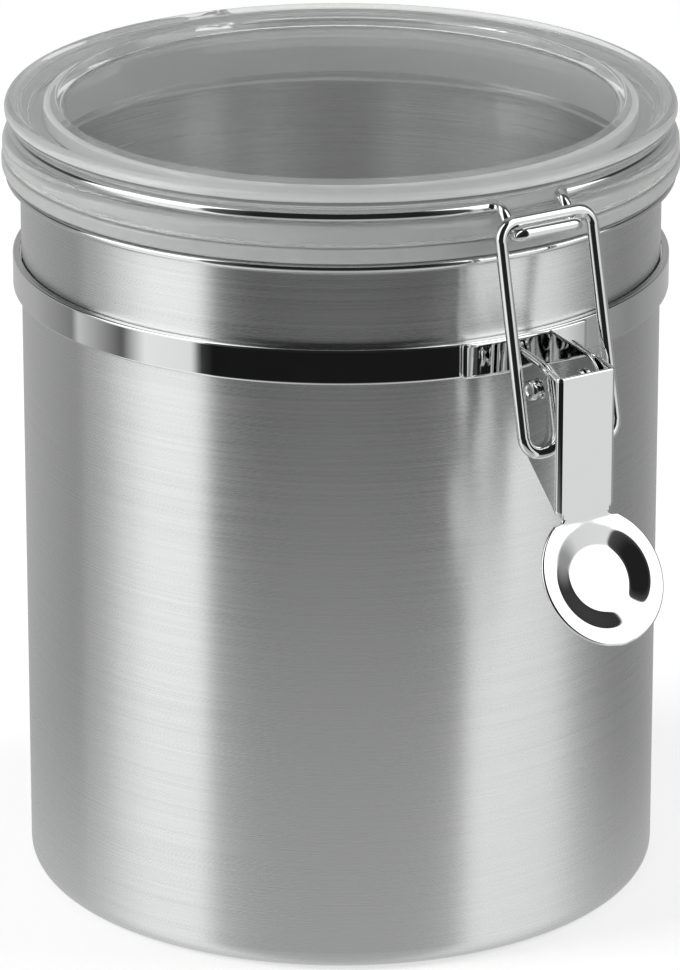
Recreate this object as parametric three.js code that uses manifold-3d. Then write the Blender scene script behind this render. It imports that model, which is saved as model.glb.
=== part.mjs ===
// Stainless steel storage canister with a clear hinged lid and an over-centre wire clamp.
// Millimetres, +Z up. The origin is the centre of the base, the clamp faces -Y, the hinge +Y.
import * as THREE from 'three';
import { mergeVertices } from 'three/addons/utils/BufferGeometryUtils.js';
import Module from 'manifold-3d';

const wasm = await Module();
wasm.setup();

// Clearances
const FIT = 0.3;
const BUTT_GAP = 0.6;

// Can
const BODY_RADIUS = 63.5;
const BODY_HEIGHT = 146.8;
const BODY_WALL = 0.7;
const BASE_CORNER = 4;
const RIM_OVERHANG = 2.9;
const RIM_LIP = 1.6;
const RIM_FLARE = 1;

// Strap round the neck
const BAND_DROP = 17.1;
const BAND_HEIGHT = 7.1;
const BAND_THICKNESS = 1.4;
const BAND_EDGE = 0.35;

// Gasket and lid
const GASKET_THICKNESS = 2.9;
const GASKET_OVERHANG = 3.6;
const GASKET_EDGE = 1;
const LID_BEAD = 4.2;
const LID_BEAD_OVERHANG = 3.4;
const LID_EDGE = 3.5;
const LID_EDGE_OVERHANG = 2.9;
const LID_RIM_WIDTH = 11.6;
const WINDOW_RECESS = 2;
const WINDOW_SLOPE = 1.4;
const WINDOW_THICKNESS = 1.8;
const PLUG_DEPTH = 2.4;
const PLUG_WALL = 3;
const PLUG_CLEARANCE = 1.1;

// Wire parts
const WIRE_DIAMETER = 2.4;
const RING_INSET = 0.6;
const RING_BEND = 2.4;
const LOOP_LIP = 1.9;
const LOOP_SIDE_CLEARANCE = 1.2;
const LOOP_HUG_END = THREE.MathUtils.degToRad(20);
const BAIL_BEND = 3.5;
const BAIL_SIDE_CLEARANCE = 1.5;
const BAIL_PIN = 1.3;

// Sheet metal of the clamp
const SHEET = 0.8;
const PIVOT_REACH = 11.9;
const PIVOT_DROP = 6.8;
const LATCH_WING_ANGLE = THREE.MathUtils.degToRad(12.6);
const EAR_ROUND = 5.7;
const LEVER_WIDTH = 13.2;
const LEVER_FACE = 8.5;
const LEVER_RISE = 4.5;
const LEVER_DROP = 23.9;
const FLANGE_BACK = 5.5;
const FLANGE_RISE = 6.1;
const HEEL_BACK = 3.8;
const HEEL_DROP = 12.4;
const BAIL_HOLE_DROP = 11.6;
const BAIL_HOLE_FORWARD = 3.2;
const TAB_RADIUS = 13.3;
const TAB_REACH = 12.4;
const TAB_NECK_WIDTH = 10.8;
const TAB_NOTCH_RADIUS = 1.3;
const TAB_TILT = THREE.MathUtils.degToRad(32);
const DISH_RADIUS = 10.6;
const DISH_FLOOR_RADIUS = 6.4;
const DISH_DEPTH = 1.7;
const RIVET_DIAMETER = 2.4;
const RIVET_HEAD_DIAMETER = 4;
const RIVET_HEAD = 0.9;

// Rear hinge
const HINGE_OFFSET = 8;
const HINGE_WIDTH = 22;
const HINGE_WING_ANGLE = THREE.MathUtils.degToRad(14);
const HINGE_BASE_RISE = 1.3;
const HINGE_UPRIGHT = 10;
const CURL_SWEEP = THREE.MathUtils.degToRad(265);

// Facet counts
const ROUND_STEPS = 60;
const TAB_STEPS = 36;
const HOLE_STEPS = 20;
const WIRE_SIDES = 8;
const FILLET_STEPS = 3;
const BEAD_STEPS = 6;
const BEND_STEPS = 4;
const RING_STEPS = 30;

// Heights and radii that follow from the sizes above
const wireRadius = WIRE_DIAMETER / 2;
const bodyInner = BODY_RADIUS - BODY_WALL;
const rimRadius = BODY_RADIUS + RIM_OVERHANG;
const bandTop = BODY_HEIGHT - BAND_DROP;
const bandBottom = bandTop - BAND_HEIGHT;
const bandInner = BODY_RADIUS + FIT;
const bandOuter = bandInner + BAND_THICKNESS;
const gasketBottom = BODY_HEIGHT + FIT;
const gasketTop = gasketBottom + GASKET_THICKNESS;
const gasketRadius = BODY_RADIUS + GASKET_OVERHANG;
const lidBottom = gasketTop + FIT;
const beadRound = LID_BEAD / 2;
const beadRadius = BODY_RADIUS + LID_BEAD_OVERHANG;
const beadTop = lidBottom + LID_BEAD;
const grooveTop = beadTop + WIRE_DIAMETER + 2 * FIT;
const wireHeight = (beadTop + grooveTop) / 2;
const edgeRound = LID_EDGE / 2;
const edgeRadius = BODY_RADIUS + LID_EDGE_OVERHANG;
const lidTop = grooveTop + LID_EDGE;
const ringRadius = edgeRadius - RING_INSET - wireRadius;
const grooveFloor = ringRadius - wireRadius - FIT;
const windowTop = lidTop - WINDOW_RECESS;
const windowRadius = edgeRadius - LID_RIM_WIDTH;
const plugOuter = bodyInner - PLUG_CLEARANCE;
const plugInner = plugOuter - PLUG_WALL;
const plugBottom = BODY_HEIGHT - PLUG_DEPTH;

// The clamp's pivot, and the lever's two bail holes, as distance from the axis and height
const pivot = new THREE.Vector2(bandOuter + PIVOT_REACH, bandTop - PIVOT_DROP);
const bailHole = new THREE.Vector2(pivot.x + BAIL_HOLE_FORWARD, pivot.y - BAIL_HOLE_DROP);
const rivetHeadOuter = LEVER_WIDTH / 2 + FIT + RIVET_HEAD;
const bailSide = rivetHeadOuter + BAIL_SIDE_CLEARANCE + wireRadius;
const loopSide = bailSide - LOOP_SIDE_CLEARANCE - WIRE_DIAMETER;

// At the front and the rear the ring wire hugs the bead, then turns level below the bail's seat
const beadCentre = new THREE.Vector2(beadRadius - beadRound, lidBottom + beadRound);
const hugRadius = beadRound + FIT + wireRadius;
const seatRadius = WIRE_DIAMETER + FIT;
const bailSeat = new THREE.Vector2(Math.cos(LOOP_HUG_END), Math.sin(LOOP_HUG_END))
  .multiplyScalar(hugRadius + seatRadius)
  .add(beadCentre);
const loopHeight = bailSeat.y - seatRadius;
const hingeAxis = new THREE.Vector2(gasketRadius + HINGE_OFFSET, loopHeight);
const hingeSide = HINGE_WIDTH / 2 + FIT + RING_BEND;

// Frames in which x is the distance from the can's axis and y the height
const FRONT = new THREE.Matrix4().makeBasis(
  new THREE.Vector3(0, -1, 0), new THREE.Vector3(0, 0, 1), new THREE.Vector3(-1, 0, 0));
const REAR = new THREE.Matrix4().makeBasis(
  new THREE.Vector3(0, 1, 0), new THREE.Vector3(0, 0, 1), new THREE.Vector3(1, 0, 0));

const STEEL = { color: 0xa9abaa, roughness: 0.35, metalness: 1 };
const CHROME = { color: 0xd8dad9, roughness: 0.08, metalness: 1 };
const CLEAR = { color: 0xdfe3e2, roughness: 0.05, metalness: 0, transparent: true, opacity: 0.4 };
const SILICONE = { color: 0xc9cbc9, roughness: 0.5, metalness: 0 };

// Points on a circle, both ends included
function arc(centreX, centreY, radius, start, end, steps) {
  return Array.from({ length: steps + 1 }, (_, i) => {
    const angle = start + ((end - start) * i) / steps;
    return new THREE.Vector2(centreX + radius * Math.cos(angle), centreY + radius * Math.sin(angle));
  });
}

const point = (x, y) => new THREE.Vector2(x, y);

// A profile of radius and height, anticlockwise, turned round the Z axis
function revolve(profile, steps = ROUND_STEPS) {
  return new THREE.LatheGeometry(profile, steps).rotateX(Math.PI / 2);
}

// An outline in a side frame, with its thickness centred on the given place along X
function plate(outline, frame, thickness, alongX = 0) {
  const options = { depth: thickness, bevelEnabled: false, curveSegments: HOLE_STEPS };
  return new THREE.ExtrudeGeometry(new THREE.Shape(outline), options)
    .translate(0, 0, -thickness / 2)
    .applyMatrix4(frame)
    .translate(alongX, 0, 0);
}

// A round bar along X at a place given in a side frame
function crossBar(place, frame, radius, length) {
  return plate(arc(place.x, place.y, radius, 0, 2 * Math.PI, HOLE_STEPS).slice(1), frame, length);
}

// A curved strip of sheet that lies on the band, centred on the front or the rear
function bandStrip(middle, halfAngle) {
  const inner = bandOuter + FIT;
  const outline = [
    ...arc(0, 0, inner + SHEET, middle - halfAngle, middle + halfAngle, BEAD_STEPS),
    ...arc(0, 0, inner, middle + halfAngle, middle - halfAngle, BEAD_STEPS),
  ];
  return new THREE.ExtrudeGeometry(new THREE.Shape(outline), { depth: BAND_HEIGHT, bevelEnabled: false })
    .translate(0, 0, bandBottom);
}

// The outline of a bent strip: its middle line moved half the thickness to each side
function stripOutline(middleLine, thickness) {
  const normals = middleLine.map((_, i) => {
    const before = middleLine[Math.max(i - 1, 0)];
    const after = middleLine[Math.min(i + 1, middleLine.length - 1)];
    return new THREE.Vector2(before.y - after.y, after.x - before.x).setLength(thickness / 2);
  });
  const left = middleLine.map((p, i) => p.clone().add(normals[i]));
  const right = middleLine.map((p, i) => p.clone().sub(normals[i]));
  return [...right, ...left.reverse()];
}

// A wire's middle line with one tube ring at each listed point
class WireRoute extends THREE.Curve {
  constructor(points) {
    super();
    this.points = points;
  }

  getUtoTmapping(u) {
    return u;
  }

  getPoint(t, target = new THREE.Vector3()) {
    const last = this.points.length - 1;
    const index = Math.min(Math.floor(t * last + 1e-6), last - 1);
    return target.lerpVectors(this.points[index], this.points[index + 1], t * last - index);
  }

  getTangent(t, target = new THREE.Vector3()) {
    const last = this.points.length - 1;
    const index = Math.round(t * last);
    const here = this.points[index];
    const into = here.clone().sub(this.points[Math.max(index - 1, 0)]).normalize();
    const out = this.points[Math.min(index + 1, last)].clone().sub(here).normalize();
    return target.copy(into).add(out).normalize();
  }
}

function wire(points) {
  const section = new THREE.Shape(arc(0, 0, wireRadius, 0, 2 * Math.PI, WIRE_SIDES).slice(1));
  const options = { steps: points.length - 1, extrudePath: new WireRoute(points), bevelEnabled: false };
  return new THREE.ExtrudeGeometry(section, options);
}

// The other half of a route that is the same on both sides of the middle
function mirrored(points) {
  return points.map((p) => new THREE.Vector3(-p.x, p.y, p.z)).reverse();
}

function solid(geometry) {
  const bare = geometry.clone();
  bare.deleteAttribute('normal');
  bare.deleteAttribute('uv');
  const merged = mergeVertices(bare, 1e-4);
  return new wasm.Manifold(new wasm.Mesh({
    numProp: 3,
    vertProperties: new Float32Array(merged.attributes.position.array),
    triVerts: new Uint32Array(merged.index.array),
  }));
}

function geometryOf(body) {
  const mesh = body.getMesh();
  const geometry = new THREE.BufferGeometry();
  geometry.setAttribute('position', new THREE.BufferAttribute(mesh.vertProperties, 3));
  geometry.setIndex(new THREE.BufferAttribute(mesh.triVerts, 1));
  geometry.computeVertexNormals();
  return geometry;
}

const joined = (geometries) => geometries.map(solid).reduce((sum, part) => sum.add(part));

function bodyShell() {
  const lipBottom = BODY_HEIGHT - RIM_LIP;
  const flareX = BODY_RADIUS + RIM_FLARE;
  const innerFlare = RIM_FLARE + BODY_WALL;
  const innerCorner = BASE_CORNER - BODY_WALL;
  return revolve([
    point(0, 0),
    ...arc(BODY_RADIUS - BASE_CORNER, BASE_CORNER, BASE_CORNER, -Math.PI / 2, 0, FILLET_STEPS),
    ...arc(flareX, lipBottom - RIM_FLARE, RIM_FLARE, Math.PI, Math.PI / 2, FILLET_STEPS),
    point(rimRadius, lipBottom),
    point(rimRadius, BODY_HEIGHT),
    ...arc(flareX, BODY_HEIGHT - innerFlare, innerFlare, Math.PI / 2, Math.PI, FILLET_STEPS),
    ...arc(BODY_RADIUS - BASE_CORNER, BASE_CORNER, innerCorner, 0, -Math.PI / 2, FILLET_STEPS),
    point(0, BODY_WALL),
  ]);
}

function neckBand() {
  return revolve([
    point(bandInner, bandBottom),
    point(bandOuter - BAND_EDGE, bandBottom),
    point(bandOuter, bandBottom + BAND_EDGE),
    point(bandOuter, bandTop - BAND_EDGE),
    point(bandOuter - BAND_EDGE, bandTop),
    point(bandInner, bandTop),
    point(bandInner, bandBottom),
  ]);
}

function lid() {
  return revolve([
    point(0, windowTop - WINDOW_THICKNESS),
    point(plugInner, windowTop - WINDOW_THICKNESS),
    point(plugInner, plugBottom),
    point(plugOuter, plugBottom),
    point(plugOuter, lidBottom),
    ...arc(beadCentre.x, beadCentre.y, beadRound, -Math.PI / 2, Math.PI / 2, BEAD_STEPS),
    point(grooveFloor, beadTop),
    point(grooveFloor, grooveTop),
    ...arc(edgeRadius - edgeRound, grooveTop + edgeRound, edgeRound, -Math.PI / 2, Math.PI / 2, BEAD_STEPS),
    point(windowRadius + WINDOW_SLOPE, lidTop),
    point(windowRadius, windowTop),
    point(0, windowTop),
  ]);
}

function lidGasket() {
  const inner = plugOuter + FIT;
  const roundX = gasketRadius - GASKET_EDGE;
  return revolve([
    point(inner, gasketBottom),
    ...arc(roundX, gasketBottom + GASKET_EDGE, GASKET_EDGE, -Math.PI / 2, 0, FILLET_STEPS),
    ...arc(roundX, gasketTop - GASKET_EDGE, GASKET_EDGE, 0, Math.PI / 2, FILLET_STEPS),
    point(inner, gasketTop),
    point(inner, gasketBottom),
  ]);
}

// Height of a loop's side wires at a distance from the axis, while they hug the bead
function hugHeight(distance) {
  const across = Math.max(distance - beadCentre.x, 0);
  return beadCentre.y + Math.sqrt(hugRadius ** 2 - across ** 2);
}

// The bend, seen from above, in which the ring turns straight outwards at a given side
function ringExit(side) {
  const bendX = side + RING_BEND;
  const bendY = Math.sqrt((ringRadius + RING_BEND) ** 2 - bendX ** 2);
  const start = Math.atan2(-bendY, -bendX);
  return arc(bendX, bendY, RING_BEND, start, -Math.PI, BEND_STEPS);
}

// One side wire of a loop towards +Y, from its level end over the bead and into the ring
function loopSideWire(side) {
  const exit = ringExit(side).reverse();
  const seat = arc(bailSeat.x, bailSeat.y, seatRadius, 1.5 * Math.PI, Math.PI + LOOP_HUG_END, BEND_STEPS);
  const hugStart = Math.acos((exit[0].y - beadCentre.x) / hugRadius);
  const hug = arc(beadCentre.x, beadCentre.y, hugRadius, LOOP_HUG_END, hugStart, BEND_STEPS);
  return [
    ...[...seat, ...hug.slice(1, -1)].map((p) => new THREE.Vector3(side, p.x, p.y)),
    ...exit.map((p) => new THREE.Vector3(p.x, p.y, hugHeight(p.y))),
  ];
}

// The front loop's round corner, wrapped up round the bail's seat to make a hook
function loopLip() {
  return arc(loopSide - LOOP_LIP, 0, LOOP_LIP, Math.PI / 2, 0, BEND_STEPS).map((p) => {
    const turn = 1.5 * Math.PI + p.y / seatRadius;
    return new THREE.Vector3(
      p.x, -bailSeat.x - seatRadius * Math.cos(turn), bailSeat.y + seatRadius * Math.sin(turn));
  });
}

// One half of the lid wire, from the middle of the front loop round to the hinge bar's butt joint
function lidWireHalf() {
  const front = loopSideWire(loopSide).slice(1).map((p) => new THREE.Vector3(p.x, -p.y, p.z));
  const rear = loopSideWire(hingeSide).reverse();
  const first = Math.atan2(front.at(-1).y, front.at(-1).x);
  const last = Math.atan2(rear[0].y, rear[0].x);
  const ring = arc(0, 0, ringRadius, first, last, RING_STEPS)
    .slice(1, -1)
    .map((p) => new THREE.Vector3(p.x, p.y, wireHeight));
  const corner = arc(hingeSide - RING_BEND, hingeAxis.x - RING_BEND, RING_BEND, 0, Math.PI / 2, BEND_STEPS)
    .map((p) => new THREE.Vector3(p.x, p.y, hingeAxis.y));
  const butt = new THREE.Vector3(BUTT_GAP / 2, hingeAxis.x, hingeAxis.y);
  return [...loopLip(), ...front, ...ring, ...rear, ...corner, butt];
}

function lidWire() {
  const half = lidWireHalf();
  return wire([...mirrored(half), ...half]);
}

// The bail is flat: a bar on the loop's seat, two legs, and two pins turned into the lever's holes
function bailWire() {
  const rise = bailSeat.clone().sub(bailHole);
  const length = rise.length();
  const direction = rise.normalize();
  const along = (x, s) => new THREE.Vector3(
    x, -(bailHole.x + direction.x * s), bailHole.y + direction.y * s);
  const bendX = bailSide - BAIL_BEND;
  const pinEnd = LEVER_WIDTH / 2 - SHEET - BAIL_PIN;
  const half = [
    ...arc(bendX, length - BAIL_BEND, BAIL_BEND, Math.PI / 2, 0, BEND_STEPS),
    ...arc(bendX, BAIL_BEND, BAIL_BEND, 0, -Math.PI / 2, BEND_STEPS),
    point(pinEnd, 0),
  ].map((p) => along(p.x, p.y));
  return wire([...mirrored(half), ...half]);
}

// Two ears on a strip, rounded at the pivot so that the lever's web turns round them
function latchBracket() {
  const earOuter = LEVER_WIDTH / 2 - SHEET - FIT;
  const earCentre = earOuter - SHEET / 2;
  const root = Math.sqrt((bandOuter + FIT + SHEET / 2) ** 2 - earOuter ** 2);
  const topAngle = Math.PI / 2 - Math.atan2(PIVOT_DROP - EAR_ROUND, pivot.x - root);
  const ear = [
    point(root, bandBottom),
    ...arc(pivot.x, pivot.y, EAR_ROUND, -Math.PI / 2, topAngle, 2 * BEAD_STEPS),
    point(root, bandTop),
  ];
  const whole = joined([
    bandStrip(-Math.PI / 2, LATCH_WING_ANGLE),
    plate(ear, FRONT, SHEET, earCentre),
    plate(ear, FRONT, SHEET, -earCentre),
  ]);
  const hole = solid(crossBar(pivot, FRONT, RIVET_DIAMETER / 2 + FIT, LEVER_WIDTH));
  return geometryOf(whole.subtract(hole));
}

// A rivet along +X: a domed head outside the lever, a shank, and a flat head inside the ear
function latchRivet(side) {
  const shank = RIVET_DIAMETER / 2;
  const head = RIVET_HEAD_DIAMETER / 2;
  const headSeat = LEVER_WIDTH / 2 + FIT;
  const earInner = LEVER_WIDTH / 2 - 2 * SHEET - 2 * FIT;
  const domeShare = 0.6;
  const profile = [
    point(0, earInner - SHEET),
    point(head, earInner - SHEET),
    point(head, earInner),
    point(shank, earInner),
    point(shank, headSeat),
    point(head, headSeat),
    point(head * domeShare, rivetHeadOuter),
    point(0, rivetHeadOuter),
  ];
  return new THREE.LatheGeometry(profile, HOLE_STEPS)
    .rotateZ(-side * Math.PI / 2)
    .translate(0, -pivot.x, pivot.y);
}

function leverTab(bendLine) {
  const floor = -DISH_DEPTH;
  const dishShoulder = (DISH_RADIUS - DISH_FLOOR_RADIUS) / 3;
  const face = [
    point(TAB_RADIUS, 0),
    point(DISH_RADIUS, 0),
    point(DISH_RADIUS - dishShoulder, floor / 2),
    point(DISH_FLOOR_RADIUS, floor),
    point(0, floor),
  ];
  const back = face.map((p) => point(p.x, p.y - SHEET)).reverse();
  const tilt = new THREE.Matrix4().makeBasis(
    new THREE.Vector3(1, 0, 0),
    new THREE.Vector3(0, -Math.cos(TAB_TILT), Math.sin(TAB_TILT)),
    new THREE.Vector3(0, -Math.sin(TAB_TILT), -Math.cos(TAB_TILT)));
  const disc = new THREE.LatheGeometry([...back, ...face], TAB_STEPS);
  const neckLength = TAB_REACH - DISH_RADIUS + SHEET;
  const neck = new THREE.BoxGeometry(TAB_NECK_WIDTH, SHEET, neckLength)
    .translate(0, -SHEET / 2, -TAB_REACH + neckLength / 2 - SHEET / 2);
  const place = new THREE.Vector3(0, -bendLine.x, bendLine.y)
    .addScaledVector(new THREE.Vector3(0, -Math.sin(TAB_TILT), -Math.cos(TAB_TILT)), TAB_REACH);
  return [disc, neck].map((g) => g.applyMatrix4(tilt).translate(place.x, place.y, place.z));
}

function latchLever() {
  const faceX = pivot.x + LEVER_FACE;
  const bendY = pivot.y - LEVER_DROP;
  const flange = [
    point(faceX - SHEET, bendY),
    point(faceX, bendY),
    point(faceX, pivot.y + LEVER_RISE),
    point(pivot.x - FLANGE_BACK, pivot.y + FLANGE_RISE),
    point(pivot.x - HEEL_BACK, pivot.y - HEEL_DROP),
  ];
  const behind = faceX - SHEET - 2 * (LEVER_FACE + FLANGE_BACK);
  const hollow = [
    point(behind, bendY - LEVER_RISE),
    point(faceX - SHEET, bendY - LEVER_RISE),
    point(faceX - SHEET, pivot.y + 2 * FLANGE_RISE),
    point(behind, pivot.y + 2 * FLANGE_RISE),
  ];
  const channel = solid(plate(flange, FRONT, LEVER_WIDTH))
    .subtract(solid(plate(hollow, FRONT, LEVER_WIDTH - 2 * SHEET)))
    .subtract(solid(crossBar(pivot, FRONT, RIVET_DIAMETER / 2 + FIT, 2 * LEVER_WIDTH)))
    .subtract(solid(crossBar(bailHole, FRONT, wireRadius + FIT, 2 * LEVER_WIDTH)));
  const [disc, neck] = leverTab(point(faceX, bendY)).map(solid);
  const notches = [-1, 1].map((side) => solid(
    new THREE.CylinderGeometry(TAB_NOTCH_RADIUS, TAB_NOTCH_RADIUS, 2 * LEVER_FACE, HOLE_STEPS)
      .translate(side * LEVER_WIDTH / 2, -faceX, bendY)));
  const whole = channel.add(neck).add(disc);
  return geometryOf(notches.reduce((rest, notch) => rest.subtract(notch), whole));
}

function hingeBracket() {
  const curlRadius = wireRadius + FIT + SHEET / 2;
  const leafX = bandOuter + FIT + SHEET / 2;
  const uprightX = hingeAxis.x - curlRadius;
  const leafLine = [
    point(leafX, bandBottom),
    point(leafX, bandTop + HINGE_BASE_RISE),
    point(uprightX, hingeAxis.y - HINGE_UPRIGHT),
    ...arc(hingeAxis.x, hingeAxis.y, curlRadius, Math.PI, Math.PI - CURL_SWEEP, 2 * BEAD_STEPS),
  ];
  const leaf = plate(stripOutline(leafLine, SHEET), REAR, HINGE_WIDTH);
  return geometryOf(joined([bandStrip(Math.PI / 2, HINGE_WING_ANGLE), leaf]));
}

function named(name, geometry, finish) {
  const mesh = new THREE.Mesh(geometry, new THREE.MeshStandardMaterial(finish));
  mesh.name = name;
  return mesh;
}

const can = new THREE.Group();
can.add(
  named('body_shell', bodyShell(), STEEL),
  named('neck_band', neckBand(), CHROME),
  named('latch_bracket', latchBracket(), CHROME),
  named('latch_rivet_left', latchRivet(-1), CHROME),
  named('latch_rivet_right', latchRivet(1), CHROME),
  named('hinge_bracket', hingeBracket(), CHROME),
);

const lidGroup = new THREE.Group();
lidGroup.add(
  named('lid', lid(), CLEAR),
  named('lid_gasket', lidGasket(), SILICONE),
  named('lid_wire', lidWire(), CHROME),
);

const clamp = new THREE.Group();
clamp.add(
  named('latch_lever', latchLever(), CHROME),
  named('bail_wire', bailWire(), CHROME),
);

const canister = new THREE.Group();
canister.add(can, lidGroup, clamp);
export default canister;
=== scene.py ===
"""Looks of a stainless steel storage canister with a clear lid and an over-centre wire clamp.

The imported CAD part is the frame. Each visible piece is a surface worked out in millimetres with numpy
and put into a mesh in metres, in the place of the CAD node that it stands for.
"""

import math

import bmesh
import bpy
import numpy as np
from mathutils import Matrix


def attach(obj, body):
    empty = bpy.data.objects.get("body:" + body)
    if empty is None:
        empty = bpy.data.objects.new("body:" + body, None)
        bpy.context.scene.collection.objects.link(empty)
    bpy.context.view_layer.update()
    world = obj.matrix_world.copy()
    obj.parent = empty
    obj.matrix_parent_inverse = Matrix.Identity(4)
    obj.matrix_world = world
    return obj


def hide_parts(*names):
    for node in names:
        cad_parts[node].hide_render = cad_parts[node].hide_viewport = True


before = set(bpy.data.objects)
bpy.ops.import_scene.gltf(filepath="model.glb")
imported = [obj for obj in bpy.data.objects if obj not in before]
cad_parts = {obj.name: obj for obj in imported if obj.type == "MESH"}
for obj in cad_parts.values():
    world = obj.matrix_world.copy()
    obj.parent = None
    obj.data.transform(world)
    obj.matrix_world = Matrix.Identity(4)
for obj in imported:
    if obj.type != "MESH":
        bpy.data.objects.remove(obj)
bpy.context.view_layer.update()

MM = 0.001
FIT = 0.3
FLAT_MARGIN = 0.15
MERGE_DISTANCE = 2e-6
FRONT, REAR = -1, 1
CORNER_STEPS = 8

# Can and strap
BODY_RADIUS, BODY_INNER, BODY_TOP, BODY_WALL = 63.5, 62.8, 146.8, 0.7
RIM_RADIUS, RIM_LIP, RIM_FLARE, RIM_ROUND, MOUTH_ROUND = 66.4, 1.6, 1.0, 0.78, 1.7
BASE_ROUND, BASE_ROUND_INNER = 4.0, 3.3
BAND_INNER, BAND_OUTER, BAND_LOW, BAND_HIGH = 63.8, 65.2, 122.6, 129.7
BAND_ROUND, BAND_ROUND_INNER = 0.45, 0.15
POLISH_START, POLISH_FULL = BODY_RADIUS + 0.4, BODY_RADIUS + 1.2

# Gasket and lid
GASKET_INNER, GASKET_RADIUS, GASKET_LOW, GASKET_HIGH = 62.0, 67.1, 147.1, 150.25
GASKET_ROUND_INNER, GASKET_ROUND_LOW, GASKET_ROUND_HIGH = 0.3, 1.2, 0.6
LID_LOW, BEAD_HIGH, GROOVE_HIGH, LID_HIGH = 150.3, 154.5, 157.5, 161.0
BEAD_RADIUS, GROOVE_RADIUS, EDGE_RADIUS = 66.9, 63.1, 66.4
BEAD_ROUND_LOW, BEAD_ROUND_HIGH, EDGE_ROUND, LID_CORNER = 0.8, 2.09, 1.74, 0.5
WINDOW_RADIUS, WINDOW_HIGH, WINDOW_LOW = 54.8, 159.0, 157.2
WINDOW_SLOPE, WINDOW_ROUND_HIGH, WINDOW_ROUND_LOW = 1.4, 0.9, 0.7
PLUG_INNER, PLUG_OUTER, PLUG_LOW, PLUG_EDGE, PLUG_REACH = 58.7, 61.7, 144.4, 0.55, 61.8
PLUG_ROUND_TOP, PLUG_ROUND_INNER, PLUG_ROUND_OUTER = 1.2, 0.7, 0.9

# Wires
WIRE = 1.2
RING_RADIUS, RING_HEIGHT, RING_BEND = 64.6, 156.0, 2.4
BEAD_CENTRE = np.array([64.8, 152.4])
HUG_RADIUS, HUG_END = 3.6, math.radians(20)
SEAT_RADIUS = 2.7
BAIL_SEAT = BEAD_CENTRE + (HUG_RADIUS + SEAT_RADIUS) * np.array([math.cos(HUG_END), math.sin(HUG_END)])
LOOP_SIDE, LOOP_LIP = 6.9, 1.9
LOOP_HEIGHT = BAIL_SEAT[1] - SEAT_RADIUS
HINGE_SIDE, HINGE_REACH, BUTT_HALF = 13.7, 75.1, 0.3
BAIL_SIDE, BAIL_BEND, BAIL_PIN_END = 10.5, 3.5, 4.5
BAIL_HOLE = np.array([80.3, 111.3])

# Sheet metal
SHEET = 0.8
PIVOT = np.array([77.1, 122.9])
LEVER_HALF, LEVER_FACE, LEVER_TOP, LEVER_BEND = 6.6, 85.6, 127.4, 99.0
FLANGE_TOP, HEEL = np.array([71.6, 129.0]), np.array([73.3, 110.5])
LEVER_CORNER, FLANGE_FOOT = 0.7, 0.6
FACE_COLUMNS, FACE_BUNCHING = 91, 0.94 * math.pi / 2
POCKET_FRONT, POCKET_SLOPE, POCKET_DEPTH = 79.1, 0.29, 0.3
POCKET_CENTRE, POCKET_RADII, POCKET_EDGE = (76.5, 116.0), (4.6, 5.4), (-0.5, 0.3)
TAB_RADIUS, TAB_REACH, TAB_TILT = 13.3, 12.4, math.radians(32)
TAB_BEND, TAB_TIP, TAB_LEAST, NOTCH_RADIUS = 2.2, 0.03, 0.4, 1.3
DISH_RADIUS, DISH_FLOOR, DISH_DEPTH, DISH_SOFTNESS = 10.6, 6.4, 1.7, 0.12
EAR_OUTER, EAR_ROUND, EAR_SHEET, EAR_ROOT = 5.5, 5.7, 0.5, 65.6
EAR_INSET, EAR_TIP, EAR_LEAST = 0.3, 0.02, 0.2
LATCH_WING, HINGE_WING = math.radians(12.6), math.radians(14)
HINGE_HALF, CURL_RADIUS, CURL_SWEEP = 11.0, 1.9, math.radians(265)
HINGE_BASE, HINGE_UPRIGHT, HINGE_TOP = 131.0, LOOP_HEIGHT - 10, LOOP_HEIGHT - 0.5
HINGE_BEND_LOW, HINGE_BEND_HIGH = 2.0, 3.0
RIVET_SHANK, RIVET_HEAD, RIVET_SEAT, RIVET_END = 1.2, 2.0, 6.9, 7.8
RIVET_INNER, RIVET_EAR = 3.6, 4.4
RIVET_ROUND, RIVET_EDGE, RIVET_SEAT_EDGE = 0.45, 0.2, 0.1
RIVET_DIMPLE_OUTER, RIVET_DIMPLE_INNER, RIVET_DIMPLE = 1.1, 0.8, 0.2

# View: the camera stands this far round from the clamp
CAMERA_TURN = math.radians(33)
CAMERA_DISTANCE, CAMERA_HEIGHT, CAMERA_PITCH = 1200.0, 519.0, math.radians(20.15)
CAMERA_FOCAL, IMAGE_HEIGHT, SENSOR = 6340.0, 970.0, 36.0
CAMERA_YAW = 1 / CAMERA_FOCAL
CAMERA_NEAR, CAMERA_FAR = 50.0, 40000.0

# Materials: tones, and roughness or refraction
STREAK_LOW, STREAK_HIGH = 0.3, 0.7
STEEL_DARK, STEEL_PALE = (0.76, 0.77, 0.765, 1), (0.88, 0.89, 0.885, 1)
STEEL_SMOOTH, STEEL_ROUGH, LIP_ROUGH = 0.25, 0.31, 0.1
CHROME_TONE, CHROME_SMEAR = (0.86, 0.87, 0.865, 1), 0.05
SILICONE_DARK, SILICONE_PALE = (0.62, 0.63, 0.625, 1), (0.72, 0.73, 0.725, 1)
ACRYLIC_IOR, SILICONE_IOR = 1.49, 1.41

# Floor, surround and lamps, the lamps with place in metres, size and power
FLOOR_TONE, FLOOR_GLOW, WORLD_LEVEL = (0.6, 0.6, 0.6, 1), 0.5, 0.5
FLOOR_RADII, FLOOR_DROP, GLOW_LIFT = (0.0, 300.0, 1000.0, 3000.0, 9000.0), 0.02, 0.05
LAMP_AIM = (0, 0, 0.08)
LAMPS = (("key_left", (-1.27, 0.45, 0.8), 0.8, 15), ("fill_right", (1.1, -0.7, 0.8), 0.8, 9))

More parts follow.
